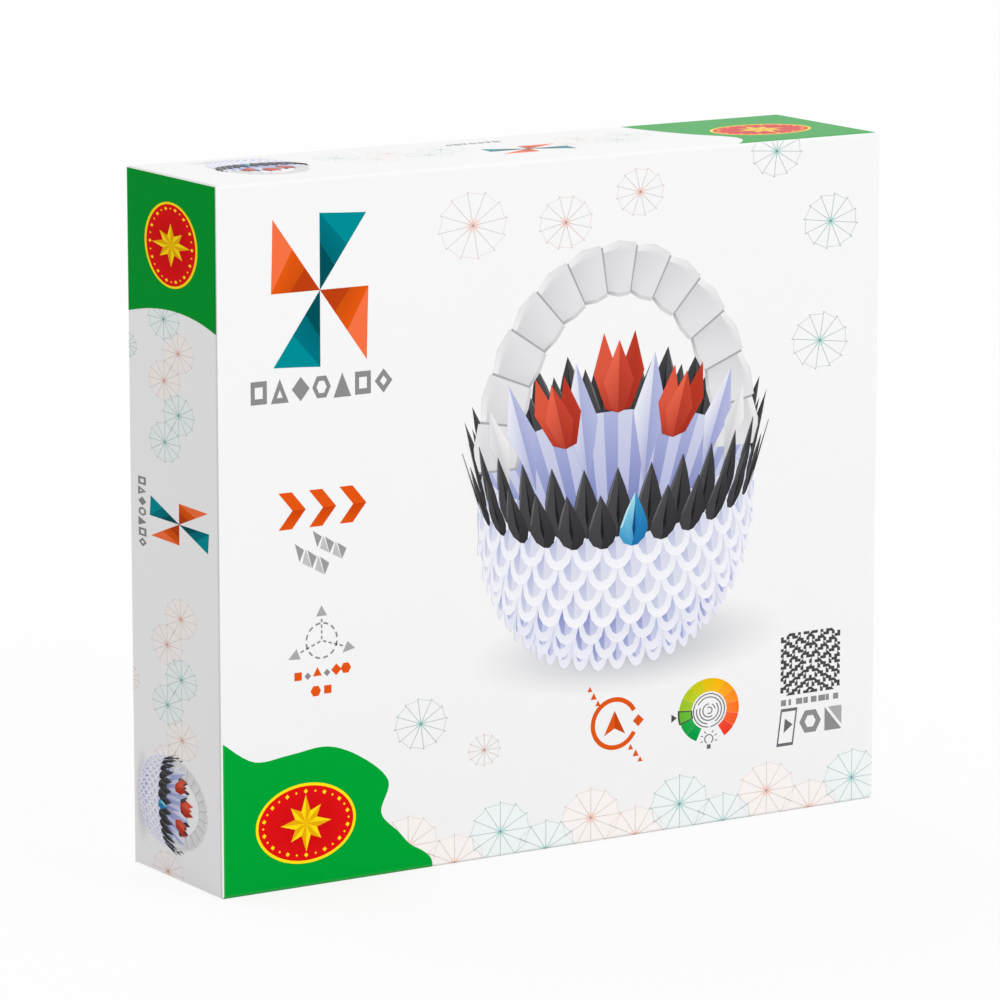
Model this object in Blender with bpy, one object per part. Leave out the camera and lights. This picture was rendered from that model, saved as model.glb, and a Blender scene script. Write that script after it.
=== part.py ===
# Closed retail carton of a paper-folding kit, in metres.
# X runs along the width, the front panel faces -Y, and the base rests on Z = 0.
# A sleeve of four panels is folded about the X direction and glued along its lower back edge.
# Each end is closed by a panel hinged on the back panel and tucked in behind the front panel.
# The pack is sealed and full, so it is one solid whose seams are cut to their real depth.
import math

import bmesh
import bpy

# The closed pack
CARTON_WIDTH = 0.200
CARTON_DEPTH = 0.046
CARTON_HEIGHT = 0.180

# Folding board and its scored folds, measured on the outside of each fold
BOARD_THICKNESS = 0.0005
SLEEVE_FOLD_RADIUS = 0.0009
END_FOLD_RADIUS = 0.0008
TUCK_FOLD_RADIUS = 0.0006

# Seams between a cut edge and the fold beside it
SEAM_WIDTH = 0.0003
SEAM_DEPTH = 0.0012

# An end panel is cut a little short of the sleeve, above and below
END_PANEL_CLEARANCE = 0.0003

# Faces in a quarter turn of a fold, and how far a cutter stands outside the board
FOLD_FACES = 6
CUTTER_OVERHANG = 0.002

BOARD_COLOUR = (0.92, 0.92, 0.915, 1.0)
BOARD_ROUGHNESS = 0.5


def clear_scene():
    for scene_object in list(bpy.data.objects):
        bpy.data.objects.remove(scene_object, do_unlink=True)


def board_material():
    material = bpy.data.materials.new("laminated_board")
    material.use_nodes = True
    shader = material.node_tree.nodes["Principled BSDF"]
    shader.inputs["Base Color"].default_value = BOARD_COLOUR
    shader.inputs["Roughness"].default_value = BOARD_ROUGHNESS
    shader.inputs["Metallic"].default_value = 0.0
    return material


def quarter_turn(centre, radius, start_angle):
    """Points of a quarter circle that turns anticlockwise from start_angle."""
    points = []
    for step in range(FOLD_FACES + 1):
        angle = start_angle + 0.5 * math.pi * step / FOLD_FACES
        points.append((centre[0] + radius * math.cos(angle), centre[1] + radius * math.sin(angle)))
    return points


def sleeve_outline():
    """Section of the sleeve as (y, z) points: three round folds and the glued edge's square corner."""
    inner_y = CARTON_DEPTH / 2 - SLEEVE_FOLD_RADIUS
    low_z = SLEEVE_FOLD_RADIUS
    high_z = CARTON_HEIGHT - SLEEVE_FOLD_RADIUS
    outline = quarter_turn((inner_y, high_z), SLEEVE_FOLD_RADIUS, 0.0)
    outline += quarter_turn((-inner_y, high_z), SLEEVE_FOLD_RADIUS, 0.5 * math.pi)
    outline += quarter_turn((-inner_y, low_z), SLEEVE_FOLD_RADIUS, math.pi)
    outline.append((CARTON_DEPTH / 2, 0.0))
    return outline


def seam_outline(cut_edge_clearance):
    """Section of a seam as (along, into) points.

    along runs from the cut edge's outer face towards the folded panel, and into runs down
    from the face that the fold lies on. The board that ends at the seam keeps its square cut
    edge, lowered by its clearance, and the board beyond the seam turns in with a round fold.
    """
    seam_end = BOARD_THICKNESS + SEAM_WIDTH
    fold_end = seam_end + TUCK_FOLD_RADIUS
    outline = []
    if cut_edge_clearance > 0:
        outline.append((-CUTTER_OVERHANG, -CUTTER_OVERHANG))
        outline.append((-CUTTER_OVERHANG, cut_edge_clearance))
        outline.append((BOARD_THICKNESS, cut_edge_clearance))
    else:
        outline.append((BOARD_THICKNESS, -CUTTER_OVERHANG))
    outline.append((BOARD_THICKNESS, SEAM_DEPTH))
    outline.append((seam_end, SEAM_DEPTH))
    fold_arc = quarter_turn((fold_end, TUCK_FOLD_RADIUS), TUCK_FOLD_RADIUS, math.pi)
    outline += fold_arc
    outline.append((fold_end, -CUTTER_OVERHANG))
    return outline


def end_fold_outline():
    """Section of what a round end fold leaves off a square corner, as (along, into) points."""
    outline = [(-CUTTER_OVERHANG, -CUTTER_OVERHANG), (-CUTTER_OVERHANG, END_FOLD_RADIUS)]
    fold_arc = quarter_turn((END_FOLD_RADIUS, END_FOLD_RADIUS), END_FOLD_RADIUS, math.pi)
    outline += fold_arc
    outline.append((END_FOLD_RADIUS, -CUTTER_OVERHANG))
    return outline


def extrude_outline(name, outline, place, start, end):
    """Closed prism whose section is outline. place turns (across, into, distance) into x, y, z."""
    shape = bmesh.new()
    start_ring = [shape.verts.new(place(across, into, start)) for across, into in outline]
    end_ring = [shape.verts.new(place(across, into, end)) for across, into in outline]
    shape.faces.new(start_ring)
    shape.faces.new(end_ring)
    count = len(outline)
    for index in range(count):
        following = (index + 1) % count
        shape.faces.new((start_ring[index], start_ring[following], end_ring[following], end_ring[index]))
    bmesh.ops.recalc_face_normals(shape, faces=shape.faces)
    mesh = bpy.data.meshes.new(name)
    shape.to_mesh(mesh)
    shape.free()
    prism = bpy.data.objects.new(name, mesh)
    bpy.context.scene.collection.objects.link(prism)
    return prism


def cut_away(carton, cutter):
    cutter.hide_render = True
    cutter.display_type = "WIRE"
    boolean = carton.modifiers.new(cutter.name, "BOOLEAN")
    boolean.operation = "DIFFERENCE"
    boolean.solver = "EXACT"
    boolean.object = cutter


def cut_end(carton, name, side):
    """Fold and three seams of the end closure at side * CARTON_WIDTH / 2."""
    end_x = side * CARTON_WIDTH / 2
    front_y = -CARTON_DEPTH / 2
    back_y = CARTON_DEPTH / 2
    below = -CUTTER_OVERHANG
    above = CARTON_HEIGHT + CUTTER_OVERHANG

    # The end panel's hinge on the back panel
    cut_away(carton, extrude_outline(
        name + "_end_fold", end_fold_outline(),
        lambda along, into, height: (end_x - side * into, back_y - along, height), below, above))

    # The front panel's cut edge beside the tuck fold
    cut_away(carton, extrude_outline(
        name + "_tuck_seam", seam_outline(0.0),
        lambda along, into, height: (end_x - side * into, front_y + along, height), below, above))

    # The end panel's own cut edges beside the dust flaps' folds, on the top and on the base
    seam_front = front_y + BOARD_THICKNESS
    seam_back = back_y - BOARD_THICKNESS
    cut_away(carton, extrude_outline(
        name + "_top_seam", seam_outline(END_PANEL_CLEARANCE),
        lambda along, into, y: (end_x - side * along, y, CARTON_HEIGHT - into), seam_front, seam_back))
    cut_away(carton, extrude_outline(
        name + "_base_seam", seam_outline(END_PANEL_CLEARANCE),
        lambda along, into, y: (end_x - side * along, y, into), seam_front, seam_back))


def cut_glue_seam(carton):
    """The back panel's cut edge, glued down beside the base panel's lower back fold."""
    back_y = CARTON_DEPTH / 2
    reach = CARTON_WIDTH / 2 - BOARD_THICKNESS - SEAM_WIDTH
    cut_away(carton, extrude_outline(
        "glue_seam", seam_outline(0.0),
        lambda along, into, x: (x, back_y - along, into), -reach, reach))


def make_carton():
    carton = extrude_outline(
        "carton", sleeve_outline(), lambda y, z, x: (x, y, z), -CARTON_WIDTH / 2, CARTON_WIDTH / 2)
    carton.data.materials.append(board_material())
    cut_end(carton, "left", -1)
    cut_end(carton, "right", 1)
    cut_glue_seam(carton)
    return carton


clear_scene()
make_carton()
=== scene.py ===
import math

import bmesh
import bpy
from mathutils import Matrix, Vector


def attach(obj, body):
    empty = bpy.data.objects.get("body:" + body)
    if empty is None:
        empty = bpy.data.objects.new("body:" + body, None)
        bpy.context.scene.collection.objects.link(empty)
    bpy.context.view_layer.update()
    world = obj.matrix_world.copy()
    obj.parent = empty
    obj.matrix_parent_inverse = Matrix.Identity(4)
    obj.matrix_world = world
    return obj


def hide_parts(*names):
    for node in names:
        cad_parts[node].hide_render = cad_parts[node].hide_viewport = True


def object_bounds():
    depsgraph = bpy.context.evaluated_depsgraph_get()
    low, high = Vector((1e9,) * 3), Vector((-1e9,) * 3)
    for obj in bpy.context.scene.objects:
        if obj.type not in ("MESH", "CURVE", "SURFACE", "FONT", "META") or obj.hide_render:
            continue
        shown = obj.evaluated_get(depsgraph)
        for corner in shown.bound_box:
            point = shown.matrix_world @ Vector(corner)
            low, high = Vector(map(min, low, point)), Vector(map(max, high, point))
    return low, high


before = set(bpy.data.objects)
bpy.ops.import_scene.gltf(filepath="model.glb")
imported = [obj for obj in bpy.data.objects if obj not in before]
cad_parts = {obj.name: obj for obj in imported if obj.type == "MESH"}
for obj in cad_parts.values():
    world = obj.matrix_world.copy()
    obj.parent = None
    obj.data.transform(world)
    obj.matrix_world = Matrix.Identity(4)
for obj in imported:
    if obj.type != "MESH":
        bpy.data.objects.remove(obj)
cadLow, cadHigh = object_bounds()

# The art is laid out in millimetres on the flat board, and folded round the carton afterwards
mm = 0.001
width = (cadHigh.x - cadLow.x) / mm
depth = (cadHigh.y - cadLow.y) / mm
height = (cadHigh.z - cadLow.z) / mm

# Folds and seams of the board, as the frame has them
board = {
    "thickness": 0.5,
    "sleeveFold": 0.9,
    "endFold": 0.8,
    "tuckFold": 0.6,
    "seam": 0.3,
    "endClearance": 0.3,
    "endBleed": 0.5,  # how far the top's print runs on into the ends' folds
    "glueTrim": 0.05,  # how far the back's print stops short of the glued edge
    "foldSteps": 6,
    "white": (241, 241, 241),
    "core": (222, 220, 216),
}


def linear(red, green, blue):
    # Screen colour, 0 to 255, to the linear value that a shader takes
    values = []
    for part in (red, green, blue):
        part = part / 255
        values.append(part / 12.92 if part <= 0.04045 else ((part + 0.055) / 1.055) ** 2.4)
    return (values[0], values[1], values[2], 1.0)


def blendInk(first, second, amount):
    return tuple(a + (b - a) * amount for a, b in zip(first, second))


def mixedInk(first, second, amount):
    return linear(*blendInk(first, second, amount))


# Node trees, in short calls

def feed(tree, node, values):
    # Gives each input a link from another socket, or a plain value
    for key, value in values.items():
        if isinstance(value, bpy.types.NodeSocket):
            tree.links.new(value, node.inputs[key])
        else:
            node.inputs[key].default_value = value


def addNode(tree, kind, values=None, **settings):
    node = tree.nodes.new(kind)
    for key, value in settings.items():
        setattr(node, key, value)
    feed(tree, node, values or {})
    return node


def mathsIn(tree):
    # calc(operation, first, second, third) adds a sum to this tree
    def calc(operation, *values):
        return addNode(tree, "ShaderNodeMath", dict(enumerate(values)), operation=operation).outputs[0]

    return calc


def mixNode(tree, amount, first, second):
    # Inputs 6 and 7 and output 2 are the node's colour sockets
    node = addNode(tree, "ShaderNodeMix", {"Factor": amount, 6: first, 7: second}, data_type="RGBA")
    return node.outputs[2]


def newMaterial(name):
    material = bpy.data.materials.new(name)
    material.use_nodes = True
    return material, material.node_tree, mathsIn(material.node_tree)


def newGroup(name, kind, inputs, outputs):
    # inputs and outputs hold labels under the kind of their sockets
    tree = bpy.data.node_groups.new(name, kind)
    for way, sockets in (("INPUT", inputs), ("OUTPUT", outputs)):
        for socketKind, labels in sockets.items():
            for label in labels:
                tree.interface.new_socket(label, in_out=way, socket_type="NodeSocket" + socketKind)
    return tree, addNode(tree, "NodeGroupInput").outputs, addNode(tree, "NodeGroupOutput")


# Laminated board and its print

laminate = {
    "roughness": 0.42,
    "roughnessSwing": 0.05,
    "specular": 0.005,
    # The sheen below is painted: the base colour is mixed toward white where the board is seen edge on,
    # standing in for the film's reflection
    "paintedSheen": 0.45,
    "paintedSheenPower": 9.0,
    "paintedSheenColour": (250, 250, 249),
    "mottle": 0.010,
    "cloudScale": 55.0,
    "fibreScale": 2400.0,
    "foldReach": 0.0011,
    # Paler print along the folds: partly wear, partly a painted highlight on the fold edges
    "foldWhitening": 0.08,
    "foldWearAndHighlightColour": (250, 250, 249),
    "bumpStrength": 0.12,
    "bumpDistance": 0.00002,
}
# How a cloudy and a fibrous noise make the grain
grain = {
    "cloudDetail": 3.0,
    "fibreDetail": 4.0,
    "noiseRoughness": 0.6,
    "cloudInTone": 0.6,
    "fibreInRelief": 0.7,
    "foldBreakUp": 1.6,
    "wornRoughness": 0.2,
}


def makeFoldGroup():
    # How close a point lies to a fold: 1 on the fold, 0 on the flat of a panel
    tree, entry, leave = newGroup(
        "foldMask", "ShaderNodeTree", {"Float": ("Half Width", "Half Depth", "Height", "Reach")},
        {"Float": ("Mask",)})
    calc = mathsIn(tree)
    place = addNode(tree, "ShaderNodeTexCoord").outputs["Object"]
    axes = addNode(tree, "ShaderNodeSeparateXYZ", {0: place}).outputs
    fromEnd = calc("SUBTRACT", entry["Half Width"], calc("ABSOLUTE", axes[0]))
    fromFace = calc("SUBTRACT", entry["Half Depth"], calc("ABSOLUTE", axes[1]))
    fromLevel = calc("MINIMUM", axes[2], calc("SUBTRACT", entry["Height"], axes[2]))
    nearest = calc("MINIMUM", calc("MAXIMUM", fromFace, fromLevel), calc("MAXIMUM", fromFace, fromEnd))
    away = calc("MAXIMUM", calc("DIVIDE", nearest, entry["Reach"]), 0.0)
    feed(tree, leave, {"Mask": calc("SUBTRACT", 1.0, calc("MINIMUM", away, 1.0))})
    return tree


def makePaperGroup():
    # Colour, roughness and relief of laminated board: cloudy mottle, fine fibre grain
    tree, entry, leave = newGroup(
        "paperGrain", "ShaderNodeTree",
        {"Color": ("Colour",), "Float": ("Mottle", "Cloud Scale", "Fibre Scale", "Roughness",
                                         "Roughness Swing", "Fold Wear And Highlight", "Fold Mask")},
        {"Color": ("Colour",), "Float": ("Roughness", "Relief")})
    calc = mathsIn(tree)
    place = addNode(tree, "ShaderNodeTexCoord").outputs["Object"]

    def noise(scale, detail):
        return addNode(tree, "ShaderNodeTexNoise", {
            "Vector": place, "Scale": scale, "Detail": detail, "Roughness": grain["noiseRoughness"],
        }).outputs["Fac"]

    def blend(first, second, share):
        return calc("ADD", calc("MULTIPLY", first, share), calc("MULTIPLY", second, 1 - share))

    cloud = noise(entry["Cloud Scale"], grain["cloudDetail"])
    fibre = noise(entry["Fibre Scale"], grain["fibreDetail"])
    swing = calc("MULTIPLY", calc("SUBTRACT", blend(cloud, fibre, grain["cloudInTone"]), 0.5), 2.0)
    tone = addNode(tree, "ShaderNodeHueSaturation", {
        "Color": entry["Colour"], "Value": calc("MULTIPLY_ADD", swing, entry["Mottle"], 1.0)})
    # Paler on a fold: partly fibre breaking through the print, partly a painted highlight along the fold.
    # The mask is broken up by the grain.
    brokenFoldMask = calc("MULTIPLY", entry["Fold Mask"], calc("MULTIPLY", fibre, grain["foldBreakUp"]))
    wearAndHighlight = calc("MINIMUM", calc("MULTIPLY", brokenFoldMask, entry["Fold Wear And Highlight"]), 1.0)
    rough = calc("MULTIPLY_ADD", swing, entry["Roughness Swing"], entry["Roughness"])
    feed(tree, leave, {
        "Colour": mixNode(tree, wearAndHighlight, tone.outputs["Color"], linear(*laminate["foldWearAndHighlightColour"])),
        "Roughness": calc("MULTIPLY_ADD", wearAndHighlight, grain["wornRoughness"], rough),
        "Relief": blend(fibre, cloud, grain["fibreInRelief"]),
    })
    return tree


foldGroup = makeFoldGroup()
paperGroup = makePaperGroup()


def makePrint(name, colour=None, **changes):
    # Laminated print in one colour, or in the colours of the piece's own "ink" attribute
    look = dict(laminate, **changes)
    material, tree, calc = newMaterial(name)
    if colour is None:
        tone = addNode(tree, "ShaderNodeAttribute", attribute_name="ink").outputs["Color"]
    else:
        tone = linear(*colour)
    fold = addNode(tree, "ShaderNodeGroup", {
        "Half Width": width * mm / 2,
        "Half Depth": depth * mm / 2,
        "Height": height * mm,
        "Reach": look["foldReach"],
    }, node_tree=foldGroup)
    paper = addNode(tree, "ShaderNodeGroup", {
        "Colour": tone,
        "Mottle": look["mottle"],
        "Cloud Scale": look["cloudScale"],
        "Fibre Scale": look["fibreScale"],
        "Roughness": look["roughness"],
        "Roughness Swing": look["roughnessSwing"],
        "Fold Wear And Highlight": look["foldWhitening"],
        "Fold Mask": fold.outputs["Mask"],
    }, node_tree=paperGroup).outputs
    # Painted sheen: seen nearly edge on, the print is mixed toward white, standing in for the satin film's
    # reflection
    facing = addNode(tree, "ShaderNodeLayerWeight").outputs["Facing"]
    paintedSheen = calc("MULTIPLY", calc("POWER", facing, look["paintedSheenPower"]), look["paintedSheen"])
    bump = addNode(tree, "ShaderNodeBump", {
        "Strength": look["bumpStrength"], "Distance": look["bumpDistance"], "Height": paper["Relief"]})
    feed(tree, tree.nodes["Principled BSDF"], {
        "Base Color": mixNode(tree, paintedSheen, paper["Colour"], linear(*look["paintedSheenColour"])),
        "Roughness": paper["Roughness"],
        "Specular IOR Level": look["specular"],
        "Normal": bump.outputs["Normal"],
    })
    return material


inks = {
    "board": makePrint("boardWhite", board["white"]),
    "core": makePrint("boardCutEdge", board["core"], roughness=0.8, mottle=0.05, foldWhitening=0.0),
    "mixed": makePrint("inkMixed"),
}
print("materials:", len(inks))


# Where the flat print goes on the folded board

def foldedPath(corners, radii):
    # place(distance, lift) on straight runs that meet in round folds, as a 2-D vector
    corners = [Vector(corner) for corner in corners]
    runs = []
    reached = 0.0
    for start, end in zip(corners, corners[1:]):
        length = (end - start).length
        runs.append({"from": reached, "to": reached + length, "start": start, "way": (end - start) / length})
        reached += length

    def outward(way):
        return Vector((-way.y, way.x))

    def place(distance, lift):
        for before, after, radius in zip(runs, runs[1:], radii):
            if radius > 0 and abs(distance - before["to"]) < radius:
                turn = (distance - before["to"] + radius) / (2 * radius) * math.pi / 2
                centre = after["start"] - before["way"] * radius + after["way"] * radius
                facing = outward(before["way"]) * math.cos(turn) + outward(after["way"]) * math.sin(turn)
                return centre + facing * (radius + lift)
        run = next((run for run in runs if distance <= run["to"]), runs[-1])
        return run["start"] + run["way"] * (distance - run["from"]) + outward(run["way"]) * lift

    return place


halfWidth = width / 2
halfDepth = depth / 2
baseLead = 10.0  # the sleeve's path starts this far back along the base
endLead = 5.0
tuckCorner = board["thickness"] + board["seam"]

sleevePath = foldedPath(
    [(-halfDepth + baseLead, 0), (-halfDepth, 0), (-halfDepth, height), (halfDepth, height), (halfDepth, 0)],
    [board["sleeveFold"]] * 3)
endPath = foldedPath(
    [(-halfWidth + endLead, -halfDepth + tuckCorner), (-halfWidth, -halfDepth + tuckCorner),
     (-halfWidth, halfDepth), (-halfWidth + endLead, halfDepth)],
    [board["tuckFold"], board["endFold"]])


def placeOnSleeve(across, along, lift):
    # along runs up the front, back over the top and down the back
    point = sleevePath(along + baseLead, lift)
    return Vector((across - halfWidth, point.x, point.y)) * mm


def placeOnTop(across, along, lift):
    # The sleeve's top, which also turns down at each end into the dust flap's fold
    point = placeOnSleeve(across, along, lift)
    radius = board["tuckFold"]
    past = max(abs(across - halfWidth) - (halfWidth - endEdge), 0)
    turned = height - radius + math.sqrt(radius ** 2 - past ** 2) + lift
    point.z = min(point.z, turned * mm)
    return point


def placeOnLeft(across, along, lift):
    # across runs from the back edge to the front edge
    point = endPath(depth - across - tuckCorner + endLead, lift)
    return Vector((point.x, point.y, along)) * mm


def placeOnRight(across, along, lift):
    # across runs from the front edge to the back edge
    point = endPath(across - tuckCorner + endLead, lift)
    return Vector((-point.x, point.y, along)) * mm


def foldLines(corner, radius):
    steps = 2 * board["foldSteps"]
    return [corner - radius + 2 * radius * step / steps for step in range(steps + 1)]


topStart = height
backStart = height + depth
baseStart = 2 * height + depth
endEdge = tuckCorner + board["tuckFold"]
sleeveFolds = [line for start in (0, topStart, backStart)
               for line in foldLines(start, board["sleeveFold"])]
sheets = {
    "sleeve": {"place": placeOnSleeve, "acrossCuts": [], "alongCuts": sleeveFolds},
    "top": {
        "place": placeOnTop,
        "acrossCuts": foldLines(width - endEdge, board["endBleed"]),
        "alongCuts": sleeveFolds,
    },
    "left": {
        "place": placeOnLeft,
        "acrossCuts": foldLines(0, board["endFold"]) + foldLines(depth - tuckCorner, board["tuckFold"]),
        "alongCuts": [],
    },
    "right": {
        "place": placeOnRight,
        "acrossCuts": foldLines(depth, board["endFold"]) + foldLines(tuckCorner, board["tuckFold"]),
        "alongCuts": [],
    },
}

# Limits of the print on each panel, as (across low, across high, along low, along high)
panels = {
    "front": ("sleeve", (0, width, -board["sleeveFold"], topStart)),
    "top": ("top", (endEdge, width - endEdge + board["endBleed"],
                    topStart - board["sleeveFold"], backStart)),
    "back": ("sleeve", (board["endFold"], width - board["endFold"], backStart,
                        baseStart - board["glueTrim"])),
    "left": ("left", (-board["endFold"], depth - tuckCorner + board["tuckFold"],
                      board["endClearance"], height - board["endClearance"])),
    "right": ("right", (tuckCorner - board["tuckFold"], depth + board["endFold"],
                        board["endClearance"], height - board["endClearance"])),
}

# Heights of the ink's faces over the board, and the steps between those that overlap
ink = {"sink": -0.004, "thin": 0.005, "line": 0.014, "field": 0.034, "mark": 0.04, "step": 0.002,
       "crease": 0.003}
cutSlack = 1e-5
trimSlack = 1e-4


def cutFlat(shape, axis, value, clear=0):
    # Cuts all of a flat piece across one axis. clear 1 drops what lies above, -1 what lies below.
    normal = Vector((0, 0, 0))
    normal[axis] = 1
    origin = normal * value
    geometry = shape.verts[:] + shape.edges[:] + shape.faces[:]
    found = bmesh.ops.bisect_plane(
        shape, geom=geometry, dist=cutSlack, plane_co=origin, plane_no=normal,
        clear_outer=clear > 0, clear_inner=clear < 0)
    if clear:
        rims = [item for item in found["geom_cut"]
                if isinstance(item, bmesh.types.BMEdge) and item.is_boundary]
        bmesh.ops.holes_fill(shape, edges=rims, sides=0)


def foldOn(shape, panel):
    # Trims a flat piece to its panel, cuts it where it bends, and folds it on to the carton
    sheetName, limits = panels[panel]
    sheet = sheets[sheetName]
    reach = []
    for axis in (0, 1):
        spots = [vert.co[axis] for vert in shape.verts]
        reach.append((min(spots), max(spots)))
    for axis, (low, high) in enumerate((limits[:2], limits[2:])):
        if reach[axis][0] < low - trimSlack:
            cutFlat(shape, axis, low, -1)
        if reach[axis][1] > high + trimSlack:
            cutFlat(shape, axis, high, 1)
    for axis, cuts in ((0, sheet["acrossCuts"]), (1, sheet["alongCuts"])):
        for value in cuts:
            if reach[axis][0] < value < reach[axis][1]:
                cutFlat(shape, axis, value)
    for vert in shape.verts:
        vert.co = sheet["place"](*vert.co)
    bmesh.ops.recalc_face_normals(shape, faces=shape.faces)


def makeObject(name, shape, materials):
    mesh = bpy.data.meshes.new(name)
    shape.to_mesh(mesh)
    shape.free()
    for material in materials:
        mesh.materials.append(material)
    made = bpy.data.objects.new(name, mesh)
    bpy.context.scene.collection.objects.link(made)
    return made


def finishPiece(name, shape, materials):
    piece = makeObject(name, shape, materials)
    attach(piece, "root")
    return piece


def mergePieces(name, parts):
    # Joins folded shapes of several panels into one printed piece
    whole = bmesh.new()
    for part in parts:
        mesh = bpy.data.meshes.new("part")
        part.to_mesh(mesh)
        part.free()
        whole.from_mesh(mesh)
        bpy.data.meshes.remove(mesh)
    finishPiece(name, whole, [inks["mixed"]])


def flatInk(outline, tone, level):
    # One field of ink. tone is a colour, or a list with one for each corner.
    return {"rings": [outline], "tones": [tone], "level": level, "open": False}


def ringInk(rings, tones, level, isOpen=True):
    # Ink between outlines of equal count, from the outer to the inner one
    return {"rings": rings, "tones": tones, "level": level, "open": isOpen}


def solidInk(shapes, panel):
    # Closed, thin bodies of ink, folded on to a panel
    solid = bmesh.new()
    colours = solid.loops.layers.float_color.new("ink")
    for shape in shapes:
        corners = {}
        uppers = []
        lowers = []
        for ring, tone in zip(shape["rings"], shape["tones"]):
            each = tone if isinstance(tone, list) else [tone] * len(ring)
            upper = [solid.verts.new((x, y, shape["level"])) for x, y in ring]
            uppers.append(upper)
            corners.update(zip(upper, each))
            if ring is shape["rings"][0] or (shape["open"] and ring is shape["rings"][-1]):
                lower = [solid.verts.new((x, y, ink["sink"])) for x, y in ring]
                lowers.append(lower)
                corners.update(zip(lower, each))
        strips = list(zip(uppers, uppers[1:])) + [(lowers[0], uppers[0])]
        faces = []
        if shape["open"]:
            strips += [(lowers[1], lowers[0]), (uppers[-1], lowers[1])]
        else:
            faces += [solid.faces.new(uppers[-1]), solid.faces.new(lowers[0][::-1])]
        for first, second in strips:
            for index in range(len(first)):
                after = (index + 1) % len(first)
                faces.append(solid.faces.new((first[index], first[after], second[after], second[index])))
        for made in faces:
            for loop in made.loops:
                loop[colours] = corners[loop.vert]
    foldOn(solid, panel)
    return solid


def placed(shapes, centre, turn=0.0, size=1.0):
    # The same art resized, by one number or by one for each direction, then turned and moved
    wide, tall = size if isinstance(size, tuple) else (size, size)
    cosine = math.cos(math.radians(turn))
    sine = math.sin(math.radians(turn))

    def turned(x, y):
        across, along = x * wide, y * tall
        return (centre[0] + across * cosine - along * sine, centre[1] + across * sine + along * cosine)

    return [dict(shape, rings=[[turned(x, y) for x, y in ring] for ring in shape["rings"]])
            for shape in shapes]


def smoothCurve(points, steps=6):
    # Points along a smooth curve through all of the given ones
    ends = [points[0]] + list(points) + [points[-1]]
    curve = []
    for index in range(1, len(ends) - 2):
        p0, p1, p2, p3 = (Vector(ends[index + offset]) for offset in (-1, 0, 1, 2))
        for step in range(steps):
            t = step / steps
            point = 0.5 * (2 * p1 + (p2 - p0) * t + (2 * p0 - 5 * p1 + 4 * p2 - p3) * t ** 2
                           + (3 * p1 - 3 * p2 + p3 - p0) * t ** 3)
            curve.append((point.x, point.y))
    curve.append(tuple(points[-1]))
    return curve


def arcPoints(centre, radius, start, end, steps):
    angles = [math.radians(start + (end - start) * step / steps) for step in range(steps + 1)]
    return [(centre[0] + radius * math.cos(angle), centre[1] + radius * math.sin(angle)) for angle in angles]


def pointAt(centre, radius, heading):
    return arcPoints(centre, radius, heading, heading, 1)[0]


def discOutline(centre, radius, steps=36):
    return arcPoints(centre, radius, 0, 360, steps)[:-1]


def bandOutline(centre, inner, outer, start, end, steps):
    return arcPoints(centre, outer, start, end, steps) + arcPoints(centre, inner, end, start, steps)


def boxOutline(low, high):
    return [(low[0], low[1]), (high[0], low[1]), (high[0], high[1]), (low[0], high[1])]


def scaledOutline(outline, factor):
    middle = [sum(point[axis] for point in outline) / len(outline) for axis in (0, 1)]
    return [(middle[0] + (x - middle[0]) * factor, middle[1] + (y - middle[1]) * factor) for x, y in outline]


def ringArc(centre, inner, outer, start, end, steps, outerTone, innerTone, level):
    outline = bandOutline(centre, inner, outer, start, end, steps)
    return flatInk(outline, [outerTone] * (steps + 1) + [innerTone] * (steps + 1), level)


def strokeInk(points, thickness, tone, level):
    # A line of even thickness through points, as one flat outline
    left = []
    right = []
    for index, point in enumerate(points):
        here = Vector(point)
        before = Vector(points[max(index - 1, 0)])
        after = Vector(points[min(index + 1, len(points) - 1)])
        way = (after - before).normalized()
        side = Vector((-way.y, way.x)) * thickness / 2
        left.append(tuple(here + side))
        right.append(tuple(here - side))
    return flatInk(left + right[::-1], tone, level)


# The board of the carton: the frame's own form, with bare board on its cut edges

def makeBoard():
    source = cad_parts["carton"]
    shape = bmesh.new()
    shape.from_mesh(source.data)
    shape.transform(source.matrix_world)
    bmesh.ops.remove_doubles(shape, verts=shape.verts, dist=1e-7)
    bmesh.ops.dissolve_limit(shape, angle_limit=math.radians(1), verts=shape.verts, edges=shape.edges)
    shape.normal_update()
    slack = 0.05
    frontSkin = (-halfDepth + board["thickness"] + slack) * mm
    endSkin = (halfWidth - board["thickness"] - slack) * mm
    square = 0.9  # a normal this far along an axis faces along it
    for face in shape.faces:
        centre = face.calc_center_median()
        cutSide = abs(face.normal.x) > square and centre.y < frontSkin
        cutEnd = abs(face.normal.z) > square and abs(centre.x) > endSkin
        inSeam = face.normal.y > square and centre.y < frontSkin
        face.material_index = 1 if cutSide or cutEnd or inSeam else 0
    piece = finishPiece("cartonBoard", shape, [inks["board"], inks["core"]])
    piece.data.shade_smooth()
    piece.data.set_sharp_from_angle(angle=math.radians(32))
    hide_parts("carton")


makeBoard()
print("board done")


# Rosettes: line drawings of folded paper fans, spokes with a stepped rim

rosette = {
    "spokes": 12,
    "lineWidth": 0.17,
    "rimDrop": 0.94,
    "dotRadius": 0.28,
    "tipRadius": 0.24,
    "centreInk": 0.3,
    "glowReach": (0.24, 0.08),
    "coral": {"line": (212, 199, 193), "rim": (231, 213, 206), "dot": (184, 130, 122),
              "tint": (246, 241, 239), "glow": (254, 216, 202)},
    "teal": {"line": (168, 187, 186), "rim": (192, 206, 205), "dot": (100, 138, 138),
             "tint": (237, 242, 242), "glow": (200, 237, 232)},
    "squash": {"front": 0.845, "back": 0.845, "left": 0.64, "right": 0.64, "top": 0.9},
    # Rosettes on the top panel are mixed toward white: painted glare on the top
    "paintedGlare": {"top": 0.55},
}
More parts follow.
